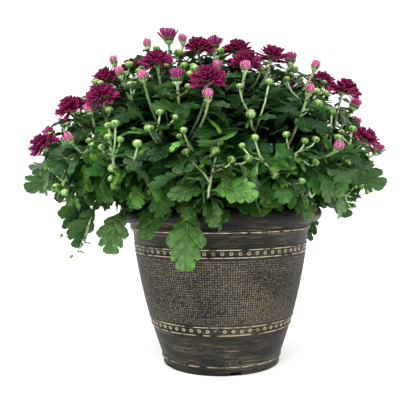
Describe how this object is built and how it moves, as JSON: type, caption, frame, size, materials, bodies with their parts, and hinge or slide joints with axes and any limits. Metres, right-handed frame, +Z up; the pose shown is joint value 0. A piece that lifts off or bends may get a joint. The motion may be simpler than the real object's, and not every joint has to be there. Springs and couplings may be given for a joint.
{
  "type": "potted garden chrysanthemum",
  "caption": "Garden chrysanthemum with plum-coloured blooms and buds on a dome of lobed leaves, growing in a round lipped plastic pot with beaded bands.",
  "frame": {"origin": "centre of the pot's flat base, on the surface it stands on", "axes": "+Z up out of the pot; -Y is the front, the side that the big leaf hangs over the lip; +X to the right seen from the front"},
  "size_m": [0.3799, 0.3663, 0.337],
  "materials": {
    "pot_plastic": "satin",
    "potting_mix": "matte",
    "foliage": "satin",
    "open_florets": "matte",
    "half_open_florets": "matte",
    "pink_florets": "matte"
  },
  "bodies": {
    "root": {"pot": "pot_plastic", "potting_mix": "potting_mix", "leafy_stem_01": "foliage", "leafy_stem_02": "foliage", "leafy_stem_03": "foliage", "leafy_stem_04": "foliage", "leafy_stem_05": "foliage", "leafy_stem_06": "foliage", "leafy_stem_07": "foliage", "leafy_stem_08": "foliage", "leafy_stem_09": "foliage", "leafy_stem_10": "foliage", "leafy_stem_11": "foliage", "leafy_stem_12": "foliage", "open_bloom_01": "open_florets", "open_bloom_02": "open_florets", "open_bloom_03": "open_florets", "open_bloom_04": "open_florets", "open_bloom_05": "open_florets", "open_bloom_06": "open_florets", "open_bloom_07": "open_florets", "open_bloom_08": "open_florets", "open_bloom_09": "open_florets", "open_bloom_10": "open_florets", "open_bloom_11": "open_florets", "open_bloom_12": "open_florets", "open_bloom_13": "open_florets", "open_bloom_14": "open_florets", "open_bloom_15": "open_florets", "open_bloom_16": "open_florets", "open_bloom_17": "open_florets", "open_bloom_18": "open_florets", "open_bloom_19": "open_florets", "open_bloom_20": "open_florets", "open_bloom_21": "open_florets", "open_bloom_22": "open_florets", "half_open_bloom_01": "half_open_florets", "half_open_bloom_02": "half_open_florets", "half_open_bloom_03": "half_open_florets", "half_open_bloom_04": "half_open_florets", "half_open_bloom_05": "half_open_florets", "half_open_bloom_06": "half_open_florets", "half_open_bloom_07": "half_open_florets", "half_open_bloom_08": "half_open_florets", "half_open_bloom_09": "half_open_florets", "half_open_bloom_10": "half_open_florets", "pink_bud_01": "pink_florets", "pink_bud_02": "pink_florets", "pink_bud_03": "pink_florets", "pink_bud_04": "pink_florets", "pink_bud_05": "pink_florets", "pink_bud_06": "pink_florets", "pink_bud_07": "pink_florets", "pink_bud_08": "pink_florets", "pink_bud_09": "pink_florets", "pink_bud_10": "pink_florets", "pink_bud_11": "pink_florets", "pink_bud_12": "pink_florets", "pink_bud_13": "pink_florets"}
  },
  "joints": []
}
